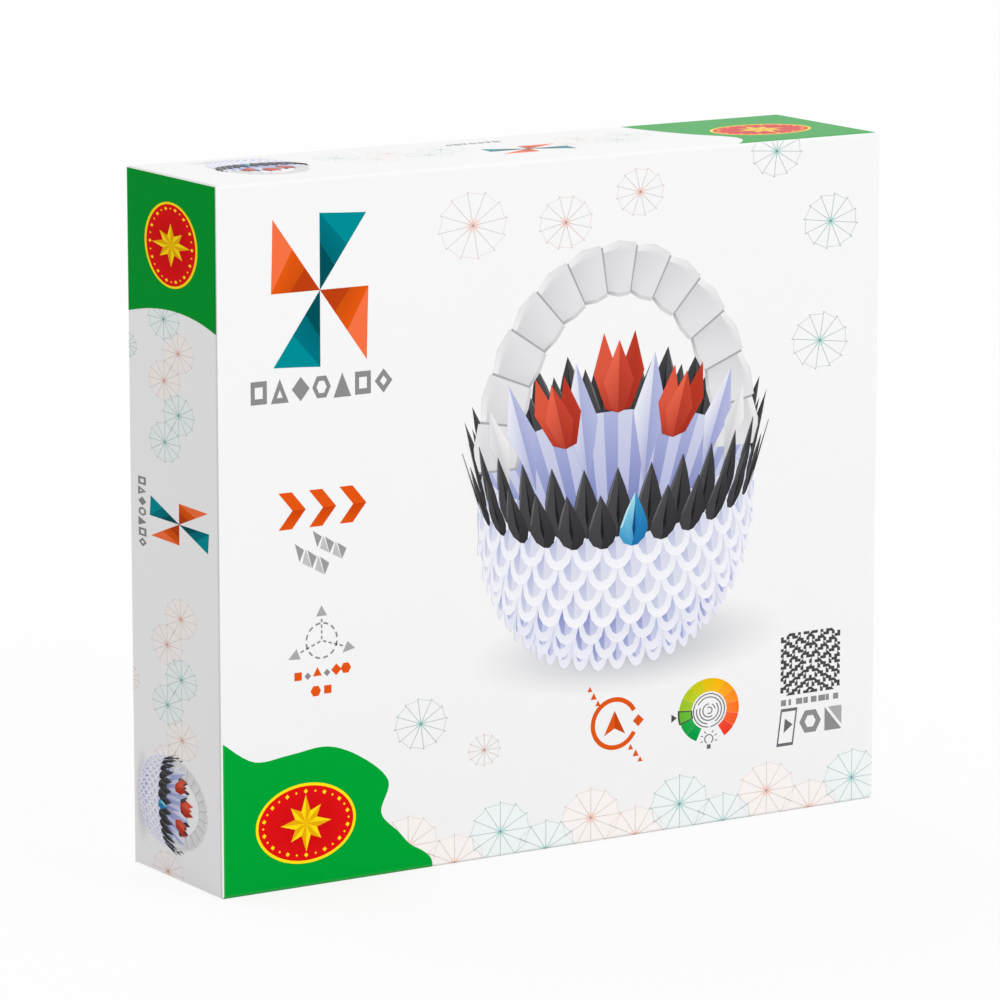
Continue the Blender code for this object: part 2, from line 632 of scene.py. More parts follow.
# Lines that cross lie at heights of their own, so that no two tops share a plane
rosetteHeights = {"teal": 0.003, "second": 0.006, "rim": -0.0025, "dot": 0.004, "tint": 0.002}


def rosetteTones(hue, panel):
    # Painted glare: this panel's tones are mixed toward white
    paintedGlare = rosette["paintedGlare"].get(panel, 0.0)
    return {label: mixedInk(tone, board["white"], paintedGlare) for label, tone in rosette[hue].items()}


def makeRosetteTree():
    # Takes a point for each rosette, and sets bars and dots round it
    tree, entry, leave = newGroup(
        "rosetteLines", "GeometryNodeTree",
        {"Geometry": ("Geometry",), "Int": ("Spokes",),
         "Float": ("Line Width", "Line Height", "Rim Drop", "Dot Radius", "Tip Radius"),
         "Color": ("Line Colour", "Rim Colour", "Dot Colour"), "Material": ("Material",)},
        {"Geometry": ("Geometry",)})
    calc = mathsIn(tree)

    def readNumber(label):
        node = addNode(tree, "GeometryNodeInputNamedAttribute", {"Name": label}, data_type="FLOAT")
        return node.outputs["Attribute"]

    def combine(*parts):
        return addNode(tree, "ShaderNodeCombineXYZ", dict(enumerate(parts))).outputs[0]

    def polar(reach, angle):
        return [calc("MULTIPLY", reach, calc(ratio, angle)) for ratio in ("COSINE", "SINE")]

    def colourBy(shape, colour):
        values = {"Name": "ink", "Geometry": shape, "Value": colour}
        return addNode(tree, "GeometryNodeStoreNamedAttribute", values,
                       data_type="FLOAT_COLOR", domain="POINT").outputs["Geometry"]

    def disc(sides, colour):
        made = addNode(tree, "GeometryNodeMeshCylinder", {"Vertices": sides, "Radius": 1, "Depth": 2})
        return colourBy(made.outputs["Mesh"], colour)

    def spread(points, shape, scale, turn=0.0):
        return addNode(tree, "GeometryNodeInstanceOnPoints", {
            "Points": points, "Instance": shape, "Scale": scale, "Rotation": combine(0, 0, turn),
        }).outputs["Instances"]

    # A bar one unit long that starts at its origin, and one that is darker there
    bar = addNode(tree, "GeometryNodeTransform", {
        "Geometry": addNode(tree, "GeometryNodeMeshCube").outputs["Mesh"],
        "Translation": (0.5, 0, 0.5),
    }).outputs["Geometry"]
    place = addNode(tree, "GeometryNodeInputPosition").outputs[0]
    along = addNode(tree, "ShaderNodeSeparateXYZ", {0: place}).outputs[0]
    share = calc("MULTIPLY_ADD", along, rosette["centreInk"], 1 - rosette["centreInk"])
    spokeBar = colourBy(bar, mixNode(tree, share, entry["Dot Colour"], entry["Line Colour"]))
    rimBar = colourBy(bar, entry["Rim Colour"])

    # Each spoke's tip, and the run of the rim from there to the next spoke
    copies = addNode(tree, "GeometryNodeDuplicateElements",
                     {"Geometry": entry["Geometry"], "Amount": entry["Spokes"]}, domain="POINT").outputs
    radius = readNumber("radius")
    step = calc("DIVIDE", 2 * math.pi, entry["Spokes"])
    angle = calc("MULTIPLY_ADD", copies["Duplicate Index"], step, readNumber("turn"))
    tipX, tipY = polar(radius, angle)
    endX, endY = polar(calc("MULTIPLY", radius, entry["Rim Drop"]), calc("SUBTRACT", angle, step))
    runX = calc("SUBTRACT", endX, tipX)
    runY = calc("SUBTRACT", endY, tipY)
    runLength = calc("SQRT", calc("ADD", calc("MULTIPLY", runX, runX), calc("MULTIPLY", runY, runY)))
    tips = addNode(tree, "GeometryNodeSetPosition", {
        "Geometry": copies["Geometry"], "Offset": combine(tipX, tipY, 0)}).outputs["Geometry"]

    high = calc("ADD", entry["Line Height"], readNumber("lift"))
    rimHigh = calc("ADD", high, rosetteHeights["rim"])
    dotHigh = calc("ADD", high, rosetteHeights["dot"])
    lineWide, dotWide, tipWide = entry["Line Width"], entry["Dot Radius"], entry["Tip Radius"]
    joined = addNode(tree, "GeometryNodeJoinGeometry")
    for made in (
        spread(copies["Geometry"], spokeBar, combine(radius, lineWide, high), angle),
        spread(tips, rimBar, combine(runLength, lineWide, rimHigh), calc("ARCTAN2", runY, runX)),
        spread(entry["Geometry"], disc(12, entry["Dot Colour"]), combine(dotWide, dotWide, dotHigh)),
        spread(tips, disc(6, entry["Line Colour"]), combine(tipWide, tipWide, dotHigh)),
    ):
        feed(tree, joined, {"Geometry": made})
    real = addNode(tree, "GeometryNodeRealizeInstances", {"Geometry": joined.outputs["Geometry"]})
    painted = addNode(tree, "GeometryNodeSetMaterial", {
        "Geometry": real.outputs["Geometry"], "Material": entry["Material"]})
    feed(tree, leave, {"Geometry": painted.outputs["Geometry"]})
    return tree


rosetteTree = makeRosetteTree()


def drawRosettes(places, panel, hue):
    # places are (across, along, radius, turn, filled). Returns the folded lines as one shape.
    squash = rosette["squash"][panel]
    firstLift = rosetteHeights["teal"] if hue == "teal" else 0.0
    seeds = bpy.data.meshes.new("rosetteSeeds")
    seeds.from_pydata([(row[0], row[1] / squash, 0) for row in places], [], [])
    columns = {
        "radius": [row[2] for row in places],
        "turn": [math.radians(row[3]) for row in places],
        "lift": [firstLift + rosetteHeights["second"] * (index % 2) for index in range(len(places))],
    }
    for label, values in columns.items():
        seeds.attributes.new(label, "FLOAT", "POINT").data.foreach_set("value", values)
    holder = bpy.data.objects.new("rosetteSeeds", seeds)
    bpy.context.scene.collection.objects.link(holder)
    modifier = holder.modifiers.new("rosetteLines", "NODES")
    modifier.node_group = rosetteTree
    tones = rosetteTones(hue, panel)
    values = {
        "Spokes": rosette["spokes"],
        "Line Width": rosette["lineWidth"],
        "Line Height": ink["line"],
        "Rim Drop": rosette["rimDrop"],
        "Dot Radius": rosette["dotRadius"],
        "Tip Radius": rosette["tipRadius"],
        "Line Colour": tones["line"],
        "Rim Colour": tones["rim"],
        "Dot Colour": tones["dot"],
        "Material": inks["mixed"],
    }
    for item in rosetteTree.interface.items_tree:
        if item.in_out == "INPUT" and item.name in values:
            modifier[item.identifier] = values[item.name]
    graph = bpy.context.evaluated_depsgraph_get()
    mesh = bpy.data.meshes.new_from_object(holder.evaluated_get(graph))
    shape = bmesh.new()
    shape.from_mesh(mesh)
    underside = 0.001
    for vert in shape.verts:
        vert.co.y *= squash
        if vert.co.z < underside:
            vert.co.z = ink["sink"]
    bpy.data.objects.remove(holder)
    bpy.data.meshes.remove(mesh)
    foldOn(shape, panel)
    return shape


def rosetteTints(places, panel, hue, firstLevel):
    # A glow round each centre, and a pale fill out to the stepped rim where the rosette has one
    tones = rosetteTones(hue, panel)
    spokes = rosette["spokes"]
    squash = rosette["squash"][panel]
    shapes = []
    for index, (x, y, radius, turn, filled) in enumerate(places):
        level = firstLevel + rosetteHeights["tint"] * (index % 2)
        rim = []
        for spoke in range(spokes):
            angle = math.radians(turn + 360 / spokes * spoke)
            for reach in (radius, radius * rosette["rimDrop"]):
                rim.append((x + reach * math.cos(angle), y + reach * math.sin(angle) * squash))
        # The glow is round, with its corners between those of the rim, so that no face is a mere line
        glow = []
        for share in rosette["glowReach"]:
            circle = arcPoints((0, 0), radius * share, turn, turn + 360, 2 * spokes)[:-1]
            glow.append([(x + across, y + along * squash) for across, along in circle])
        if filled:
            rings, shades = [rim] + glow, [tones["tint"], tones["tint"], tones["glow"]]
        else:
            rings, shades = glow, [linear(*board["white"]), tones["glow"]]
        shapes.append(ringInk(rings, shades, level, False))
    return shapes


# Where the rosettes go: (hue, (across, along, radius, turn, filled))

upright = 90
band = {"pitch": 27.8, "first": 54.4, "radius": 9.2, "lift": 6.6}
chain = {"step": 7.8, "lanes": (18.75, 26.0), "radius": 8.05, "start": 180, "topSize": 0.8, "topLift": 3}


def bandRow(count, shift, lift):
    # Coral and teal by turns along the lower edge
    return [(("coral", "teal")[index % 2],
             (band["first"] + band["pitch"] * (index + shift), lift, band["radius"], upright, True))
            for index in range(count)]


def zigzag(start, hues, firstLane):
    # Down the side in the two lanes
    return [(hue, (chain["lanes"][(firstLane + index) % 2], start - chain["step"] * index,
                   chain["radius"], upright, True)) for index, hue in enumerate(hues)]


def movedRosettes(entries, move, size=1.0):
    # The same rosettes with each centre put through move
    return [(hue, (*move(x, y), radius * size, turn, filled))
            for hue, (x, y, radius, turn, filled) in entries]


def sideways(hues, firstLane, start):
    # A side's chain laid along the top
    def laid(x, y):
        return (start + (chain["start"] - y), topStart + depth - x + chain["topLift"])

    return movedRosettes(zigzag(chain["start"], hues, firstLane), laid, chain["topSize"])


bandFull = bandRow(6, 0, band["lift"])
bandHalf = bandRow(5, 0.5, 0)
endChain = zigzag(143.5, ("teal", "coral", "coral", "teal", "teal"), 0)
endChain += zigzag(68.2, ("coral", "coral", "teal", "teal", "coral", "coral"), 1)
endChain += [("coral", (18.0, 1.3, chain["radius"], upright, True)), ("teal", (-0.4, 134.6, 5.0, 20, True)),
             ("coral", (-1.4, 48.5, 5.4, 50, True))]

rosettePlaces = {
    "front": [
        ("coral", (74.05, 164.7, 10.2, 9, False)), ("coral", (101.9, 163.4, 8.1, 14, False)),
        ("coral", (124.6, 169.6, 7.35, 12, False)), ("coral", (77.3, 28.8, 4.8, 0, False)),
        ("teal", (167.1, 177.2, 7.9, -5, False)), ("teal", (184.5, 157.6, 8.6, -8, False)),
        ("teal", (181.4, 126.2, 8.9, -8, False)), ("teal", (58.3, 38.0, 7.8, 6, False)),
    ] + bandFull + bandHalf,
    "left": endChain,
    "right": movedRosettes(endChain, lambda x, y: (depth - x, y)),
    "top": sideways(("teal", "coral", "coral", "teal", "teal"), 0, 52)
    + sideways(("coral", "coral", "teal", "teal"), 1, 117),
    "back": movedRosettes(bandFull + bandHalf, lambda x, y: (x, baseStart - y))
    + movedRosettes(bandFull[:2] + bandHalf[:2], lambda x, y: (x - band["pitch"] * 2, baseStart - y))
    + [("coral", (150.0, backStart + 40, 9.0, upright, False)),
       ("teal", (56.0, backStart + 34, 8.2, upright, False)),
       ("coral", (72.0, backStart + 22, 6.6, upright, False))],
}

for level, hue in ((0.004, "coral"), (0.008, "teal")):
    lines = []
    tints = []
    for panel, entries in rosettePlaces.items():
        places = [place for hueOf, place in entries if hueOf == hue]
        lines.append(drawRosettes(places, panel, hue))
        tints.append(solidInk(rosetteTints(places, panel, hue, level), panel))
    mergePieces("rosetteLines" + hue.capitalize(), lines)
    mergePieces("rosetteTints" + hue.capitalize(), tints)
print("rosettes done")


# Green fields with a wavy edge: front corner, both ends, top and back

# The end panels' green is darker than the front's: painted shade on the ends
green = {"tone": (0, 161, 54), "paintedShadeEndTone": (0, 148, 46)}
farEdge = 300.0  # well past every panel, for print that runs off its edge
endField = smoothCurve([(-2, 142.9), (12, 145.4), (25, 146.1), (37, 145.0), (48, 142.4)])
endField += [(48, height + 2), (-2, height + 2)]
greenFields = {
    "front": [smoothCurve([(0.5, 39.9), (9.5, 34.2), (20, 34.8), (31, 35.6), (41, 31.4), (48.6, 24.4),
                           (46.4, 16.4), (51.6, 10.7), (54.9, 7.1), (59.0, 4.6), (61.4, 2.0), (61.9, -3)])
              + [(0.5, -3)]],
    # The top field starts 0.35 mm past the front fold, so bare white board shows along the fold as a painted
    # highlight
    "top": [smoothCurve([(155.6, topStart + 0.35), (159.6, 184.6), (161.6, 189.5), (160.6, 194.0),
                         (155.4, 202.6), (151.6, 212), (149.2, 221), (148.2, backStart + 2)])
            + [(farEdge, backStart + 2), (farEdge, topStart + 0.35)]],
    "back": [
        smoothCurve([(148.2, backStart - 1), (148.6, backStart + 6), (153, backStart + 12.5),
                     (162, backStart + 14.5), (172, backStart + 20), (181, backStart + 30),
                     (width, backStart + 37)]) + [(width, backStart - 1)],
        smoothCurve([(0, backStart + 38.2), (9, backStart + 33), (17, backStart + 21),
                     (27, backStart + 12), (33, backStart - 1)]) + [(0, backStart - 1)],
    ],
    "left": [endField],
    "right": [[(depth - x, y) for x, y in endField]],
}
greenParts = []
for panel, outlines in greenFields.items():
    # The ends take the darker green, painted shade
    tone = linear(*green["paintedShadeEndTone" if panel in ("left", "right") else "tone"])
    greenParts.append(solidInk([flatInk(outline, tone, ink["field"]) for outline in outlines], panel))
mergePieces("greenFields", greenParts)
print("green fields done")


# The mark: a pinwheel of four folded blades, taller than it is wide

emblem = {
    "halfWidth": 14.0,
    "halfHeight": 19.3,
    "orange": ((206, 68, 18), (226, 88, 16), (242, 112, 66)),
    "teal": ((0, 88, 98), (0, 116, 128), (0, 138, 146)),
    "shade": 0.1,
    "shadeReach": 0.7,
    "facets": (
        ((0, 0), (0.3, 0.3), (0, 0.62)),
        ((0, 0.62), (0.3, 0.3), (0.56, 0.56), (0, 1)),
        ((0, 1), (0.56, 0.56), (0.96, 0.96), (0.42, 0.98)),
    ),
}


def drawEmblem():
    shapes = []
    for quarter in range(4):
        cosine = math.cos(math.radians(-90 * quarter))
        sine = math.sin(math.radians(-90 * quarter))
        for corners, tone in zip(emblem["facets"], emblem["orange" if quarter % 2 else "teal"]):
            outline = [((x * cosine - y * sine) * emblem["halfWidth"],
                        (x * sine + y * cosine) * emblem["halfHeight"]) for x, y in corners]
            near = mixedInk(tone, (0, 0, 0), emblem["shade"])
            shades = [near if abs(x) + abs(y) < emblem["shadeReach"] else linear(*tone) for x, y in corners]
            shapes.append(flatInk(outline, shades, ink["mark"]))
    return shapes


# The row under the mark: plain small shapes of equal height

tokenRow = {
    "tone": (138, 138, 138),
    "size": 5.1,
    "tall": 1.2,
    "pitch": 6.0,
    "order": ("square", "triangle", "diamond", "hexagon", "triangle", "square", "diamond"),
    "filled": (2, 4),
    "inward": {"triangle": 0.34, "diamond": 0.42, "square": 0.5, "hexagon": 0.56},
}


def drawTokens():
    shapes = []
    half = tokenRow["size"] / 2
    tall = half * tokenRow["tall"]
    forms = {
        "triangle": [(-half, -tall), (half, -tall), (0, tall)],
        "diamond": [(0, -tall), (half, 0), (0, tall), (-half, 0)],
        "square": boxOutline((-half * 0.9, -tall * 0.95), (half * 0.9, tall * 0.95)),
        "hexagon": [(x, y * tokenRow["tall"]) for x, y in discOutline((0, 0), half * 1.04, 6)],
    }
    tone = linear(*tokenRow["tone"])
    for index, form in enumerate(tokenRow["order"]):
        outline = forms[form]
        if index in tokenRow["filled"]:
            made = flatInk(outline, tone, ink["mark"])
        else:
            rings = [outline, scaledOutline(outline, tokenRow["inward"][form])]
            made = ringInk(rings, [tone, tone], ink["mark"])
        across = (index - (len(tokenRow["order"]) - 1) / 2) * tokenRow["pitch"]
        shapes += placed([made], (across, 0))
    return shapes


# The badge: an oval with a folded eight-point star

badge = {
    "half": (14.6, 10.4),
    "rim": 0.75,
    "red": (226, 20, 22),
    "deepRed": (206, 14, 20),
    "yellow": (255, 226, 24),
    "gold": (232, 170, 8),
    "starRadii": (7.4, 6.216),  # of the long points and the short ones between them
    "starWaist": 3.4,
    "starLift": 0.006,
    "dots": 28,
    "dotInset": 2.15,
    "dotRadii": (0.34, 0.62),
    "dotLift": 0.004,
}


def ovalOutline(inset, steps=56):
    wide, tall = [half - inset for half in badge["half"]]
    return [(wide * x, tall * y) for x, y in discOutline((0, 0), 1, steps)]


def drawBadge():
    level = ink["field"] + ink["step"]
    yellow = linear(*badge["yellow"])
    red = linear(*badge["red"])
    deep = linear(*badge["deepRed"])
    outer = ovalOutline(0)
    inner = ovalOutline(badge["rim"])
    core = discOutline((0, 0), badge["starWaist"], len(outer))
    shapes = [
        ringInk([outer, inner], [yellow, yellow], level),
        ringInk([inner, core], [red, deep], level - ink["step"] / 2, False),
    ]
    points = 8
    for index in range(points):
        heading = 360 / points * index
        tip = pointAt((0, 0), badge["starRadii"][index % 2], heading)
        for side, tone in ((1, badge["yellow"]), (-1, badge["gold"])):
            waist = pointAt((0, 0), badge["starWaist"], heading + 180 / points * side)
            shades = [mixedInk(tone, badge["gold"], 0.5), linear(*tone), linear(*tone)]
            shapes.append(flatInk([(0, 0), tip, waist], shades, level + badge["starLift"]))
    for index, spot in enumerate(ovalOutline(badge["dotInset"], badge["dots"])):
        outline = discOutline(spot, badge["dotRadii"][index % 2], 4)
        shapes.append(flatInk(outline, yellow, level + badge["dotLift"]))
    return shapes


# Small marks on the front: chevrons, a folded unit, a turning sign and a dotted line

frontMarks = {
    "orange": (226, 84, 18),
    "deepOrange": (200, 66, 10),
    "grey": (138, 138, 138),
    "paleGrey": (196, 196, 196),
    "chevrons": {"count": 3, "first": 17.0, "pitch": 8.8, "heights": (92.4, 97.1, 101.8)},
}


def drawSmallMarks():
    orange = linear(*frontMarks["orange"])
    deepOrange = linear(*frontMarks["deepOrange"])
    grey = linear(*frontMarks["grey"])
    level = ink["mark"]
    shapes = []
    # Three folded chevrons
    chevrons = frontMarks["chevrons"]
    low, middle, high = chevrons["heights"]
    for index in range(chevrons["count"]):
        x = chevrons["first"] + chevrons["pitch"] * index
        shapes.append(flatInk([(x, high), (x + 3.8, high), (x + 7.8, middle), (x + 4.0, middle)],
                              orange, level))
        shapes.append(flatInk([(x + 4.0, middle), (x + 7.8, middle), (x + 3.8, low), (x, low)],
                              [deepOrange, deepOrange, orange, orange], level))
    # Two folded paper strips, side by side
    for start, end, rise in (((21.6, 88.6), (31.8, 83.0), -4.0), ((26.8, 91.4), (36.8, 86.2), -3.6)):
        run = Vector(end) - Vector(start)
        for index in range(5):
            near = Vector(start) + run * (index / 5.6)
            far = near + run * 0.26 + Vector((0.0, rise * 0.1))
            inset = Vector((run.x * 0.13, run.y * 0.13 + rise))
            down = index % 2 == 1
            corners = [near, far, near + inset]
            if down:
                corners = [near + run * 0.13, near + inset - run * 0.10, near + inset + run * 0.16]
            tone = mixedInk(frontMarks["grey"], frontMarks["paleGrey"], 0.9 if down else 0.25)
            shapes.append(flatInk([tuple(corner) for corner in corners], tone, level))
    # A dashed circle round three dashed arrows
    centre = (29.2, 63.1)
    for index in range(12):
        shapes.append(ringArc(centre, 4.25, 4.7, 30 * index + 5, 30 * index + 23, 4, grey, grey, level))
    pale = mixedInk(frontMarks["grey"], frontMarks["paleGrey"], 0.5)
    for point, head in (((29.2, 68.9), [(27.6, 69.4), (30.8, 69.4), (29.2, 72.1)]),
                        ((35.6, 61.0), [(35.3, 59.3), (38.9, 60.1), (36.7, 62.1)]),
                        ((22.8, 60.6), [(19.5, 59.2), (23.0, 59.0), (21.9, 61.7)])):
        shapes.append(flatInk(head, pale, level))
        run = Vector(point) - Vector(centre)
        for index in range(4):
            start = Vector(centre) + run * (0.06 + 0.25 * index)
            shapes.append(strokeInk([tuple(start), tuple(start + run * 0.15)], 0.42, grey, level))
    # Two rows of small plain shapes
    for spot, size, sides, turn, tone in (
        ((22.3, 54.6), 1.5, 4, 45, orange), ((27.9, 54.9), 1.5, 3, 90, orange),
        ((33.4, 55.2), 1.5, 4, 0, orange), ((36.2, 55.3), 1.5, 6, 0, orange),
        ((27.4, 50.3), 1.5, 6, 0, orange), ((30.9, 50.4), 1.5, 4, 45, orange),
        ((25.1, 54.4), 0.95, 4, 0, grey), ((30.7, 54.7), 0.95, 4, 0, grey),
    ):
        shapes.append(flatInk(arcPoints(spot, size, turn, turn + 360, sides)[:-1], tone, level))
    return shapes


# The lower right of the front: ring, gauge, quilt block, folded sheet and blocks

infoMarks = {
    "ring": (220, 86, 22),
    "gauge": ((0, 150, 62), (18, 160, 60), (96, 178, 46), (150, 192, 36), (178, 200, 24), (200, 198, 14),
              (226, 188, 6), (246, 180, 4), (250, 160, 22), (250, 138, 26), (250, 112, 30), (244, 86, 36),
              (238, 56, 30)),
    "gaugeStart": 245,
    "gaugeSweep": 304,
    "arcs": ((5.1, 268, -84), (4.1, 150, -60), (4.1, 262, 168), (3.1, 40, -200), (2.1, 300, 90),
             (2.1, 60, 10), (1.1, 120, -120)),
    "arcWidth": 0.3,
    "rays": (-15, 25, 60, 120, 155, 195),
    "bars": (1.6, 0.8, 2.0, 1.4, 1.8, 2.2, 1.0, 1.6),
    "needle": (104, 104, 108),
    "block": (74, 74, 76),
    "bar": (140, 140, 142),
    "quilt": {"low": (169.9, 31.6), "size": (19.2, 16.8), "cells": 21, "cellFill": 0.98},
}


def drawRing():
    # An open ring round a folded arrowhead, with small triangles beside it
    level = ink["mark"]
    tone = linear(*infoMarks["ring"])
    deep = mixedInk(infoMarks["ring"], (150, 30, 0), 0.3)
    shapes = [
        ringArc((0, 0), 6.1, 7.4, 27, 333, 52, tone, tone, level),
        flatInk([(-3.3, -3.2), (0, 3.6), (0, -1.4)], tone, level),
        flatInk([(3.3, -3.2), (0, -1.4), (0, 3.6)], deep, level),
        flatInk(arcPoints((7.4, 0), 1.7, 0, 360, 4)[:-1], tone, level),
    ]
    for x, y, size in ((-7.7, 10.6, 0.75), (-6.5, 8.5, 0.95), (-5.2, 6.4, 0.8),
                       (5.0, -7.2, 0.8), (6.6, -9.1, 0.95), (8.0, -11.0, 0.75)):
        shapes.append(flatInk([(x - size, y - size), (x + size, y - size), (x, y + size)], tone, level))
    return shapes


def drawGauge():
    # A scale of colours round thin arcs, with a lamp under it
    level = ink["mark"]
    needle = linear(*infoMarks["needle"])
    block = linear(*infoMarks["block"])
    centre = (0, 0)
    first = infoMarks["gaugeStart"]
    sweep = infoMarks["gaugeSweep"] / len(infoMarks["gauge"])
    shapes = []
    for index, tone in enumerate(infoMarks["gauge"]):
        start = first - sweep * index
        shapes.append(ringArc(centre, 5.6, 9.5, start, start - sweep + 0.4, 4, linear(*tone),
                              mixedInk(tone, (255, 255, 255), 0.1), level))
    for radius, start, end in infoMarks["arcs"]:
        inner = radius - infoMarks["arcWidth"]
        shapes.append(ringArc(centre, inner, radius, start, end, 22, needle, needle, level))
    start = first - sweep * 2
    outer = bandOutline(centre, 5.3, 9.9, start + 1, start - sweep - 1, 4)
    inner = bandOutline(centre, 5.75, 9.4, start - 1.4, start - sweep + 1.4, 4)
    shapes.append(ringInk([outer, inner], [block, block], level + ink["step"]))
    shapes.append(flatInk([(-11.9, 0.3), (-10.2, -0.9), (-11.9, -2.1)], block, level))
    bulb = (0, -8.5)
    shapes.append(ringArc(bulb, 1.15, 1.45, -60, 240, 20, needle, needle, level))
    shapes.append(flatInk(boxOutline((-0.6, -11.4), (0.6, -10.1)), needle, level))
    for heading in infoMarks["rays"]:
        ray = [pointAt(bulb, radius, heading) for radius in (2.0, 2.8)]
        shapes.append(strokeInk(ray, 0.25, needle, level))
    return shapes


def drawQuilt():
    # A quilt block of plain squares and triangles, the same to each side of its middle
    quilt = infoMarks["quilt"]
    cells = quilt["cells"]
    wide, tall = quilt["size"][0] / cells, quilt["size"][1] / cells
    tone = linear(*infoMarks["block"])
    shapes = []
    for row in range(cells):
        for column in range(cells):
            up, out = abs(row - cells // 2), abs(column - cells // 2)
            kind = (3 * up * up + 5 * out * out + 7 * up * out + 2) % 11
            x, y = quilt["low"][0] + column * wide, quilt["low"][1] + row * tall
            right, top = x + wide * quilt["cellFill"], y + tall * quilt["cellFill"]
            if kind < 4:
                shapes.append(flatInk(boxOutline((x, y), (right, top)), tone, ink["mark"]))
            elif kind < 6:
                corner = (right, top) if (column > cells // 2) == (kind == 4) else (x, top)
                shapes.append(flatInk([(x, y), (right, y), corner], tone, ink["mark"]))
    return shapes


def drawInfoMarks():
    level = ink["mark"]
    needle = linear(*infoMarks["needle"])
    bar = linear(*infoMarks["bar"])
    shapes = drawQuilt()
    for index, wide in enumerate(infoMarks["bars"]):
        x = 170.1 + 2.42 * index
        shapes.append(flatInk(boxOutline((x, 28.9), (x + wide, 30.5)), bar, level))
    # An upright tablet, a plain hexagon and a folded square
    outer = [(168.7, 18.0), (174.0, 18.0), (175.4, 28.1), (170.1, 28.1)]
    shapes.append(ringInk([outer, scaledOutline(outer, 0.84)], [needle, needle], level))
    shapes.append(flatInk([(171.0, 21.6), (173.9, 23.6), (171.4, 25.4)], needle, level))
    hexagon = discOutline((179.6, 23.8), 3.5, 6)
    shapes.append(ringInk([hexagon, scaledOutline(hexagon, 0.52)], [bar, bar], level))
    shapes.append(flatInk([(184.3, 20.6), (189.8, 20.6), (184.3, 27.0)], bar, level))
    shapes.append(flatInk([(189.8, 21.8), (189.8, 27.0), (185.4, 27.0)],
                          mixedInk(infoMarks["bar"], (190, 190, 192), 0.6), level))
    return shapes


# The picture: a basket folded from paper units, with tulips, worked out in 3-D and drawn flat

basket = {
    "around": 28,
    "tilt": 21.0,
    "rowHeight": 5.8,
    "radii": (26.5, 32.6, 36.8, 39.6, 41.4, 42.4, 42.7, 42.3),
    "unitTall": 8.0,
    "unitHang": 1.4,
    "rimTall": 18.0,
    "rimFlare": 4.6,
    "unitShade": 0.86,
    "sideShade": 0.35,
    "edgeLight": 0.24,
    "farTall": 14.0,
    # Leaves and tulips as (across, over the rim, length, lean)
    "leaves": ((-25, -6, 28, -0.3), (-9, -7, 33, -0.12), (8, -7, 34, 0.1), (26, -6, 27, 0.34),
               (-33, -4, 20, -0.3), (33, -4, 20, 0.3)),
    "tulips": ((-16, 4, 19, -0.26), (17, 4, 19, 0.26), (0, 12, 21, 0.02)),
    "handleRise": 53.0,
    "handleUnits": 13,
    "handleWidth": 13.6,
    "handleInset": 5.5,
    "foreshortening": 0.934,  # how tall upright lengths look from above, near the tilt's cosine
}
# Heights of the picture's layers over the board, from the far rim to the near one: (first, step)
basketLevels = {
    "farRim": (0.010, 0.006),
    "pleats": (0.024, 0),
    "handle": (0.030, 0.003),
    "leaves": (0.074, 0.003),
    "tulips": (0.096, 0.006),
    "body": (0.120, 0),
    "rows": (0.124, 0.006),
    "nearRim": (0.174, 0.007),
}
paperTones = {
    "white": {"foot": (242, 242, 247), "top": (220, 221, 233), "hollow": (208, 211, 230),
              "deep": (170, 174, 210)},
    "lavender": {"foot": (236, 236, 244), "top": (204, 207, 228), "hollow": (172, 178, 216),
                 "deep": (116, 124, 184)},
    "grey": {"foot": (222, 222, 224), "top": (208, 208, 211), "hollow": (236, 236, 237),
             "deep": (168, 168, 172)},
    "charcoal": {"foot": (78, 78, 80), "top": (66, 66, 68), "hollow": (50, 50, 52), "deep": (26, 26, 28)},
    "blue": {"foot": (170, 224, 236), "top": (60, 150, 196), "hollow": (30, 112, 170),
             "deep": (16, 66, 112)},
    "red": {"foot": (236, 104, 78), "top": (216, 82, 60), "hollow": (184, 58, 40), "deep": (138, 36, 26)},
}
rowPapers = ("lavender",) * 3 + ("white",) * 5

# Parts of a folded unit as (corners, ink at one end, ink at the other, raised). The unit near the
# viewer has a rounded foot round a creased hollow, and the tall one a fold and a slit beside it.
unitParts = (
    ([(-0.98, 0.98), (-0.98, 0.2), (-0.82, -0.08), (-0.45, -0.29), (0, -0.36), (0.45, -0.29),
      (0.82, -0.08), (0.98, 0.2), (0.98, 0.98)], "top", "foot", 0),
    ([(-0.64, 0.98), (-0.64, 0.3), (-0.38, 0.02), (-0.08, -0.07), (-0.2, 0.98)], "deep", "hollow", 1),
    ([(-0.2, 0.98), (-0.08, -0.07), (0.34, 0.02), (0.6, 0.3), (0.6, 0.98)], "hollow", "top", 1),
)
featherParts = (
    ([(0, 1), (-0.5, 0.6), (-0.86, 0.24), (-0.92, 0.06), (-0.62, -0.12), (-0.1, -0.2), (0.06, 0.1)],
     "foot", "top", 0),
    ([(0, 1), (0.06, 0.1), (-0.1, -0.2), (0.3, -0.19), (0.72, -0.06), (0.92, 0.12), (0.84, 0.3),
      (0.44, 0.66)], "top", "hollow", 0),
    ([(0.03, 0.8), (-0.1, 0.2), (0.0, -0.02), (0.12, 0.16)], "hollow", "deep", 1),
    ([(0, 1), (-0.5, 0.6), (-0.86, 0.24), (-0.74, 0.24), (-0.4, 0.58)], "edge", "foot", 1),
)
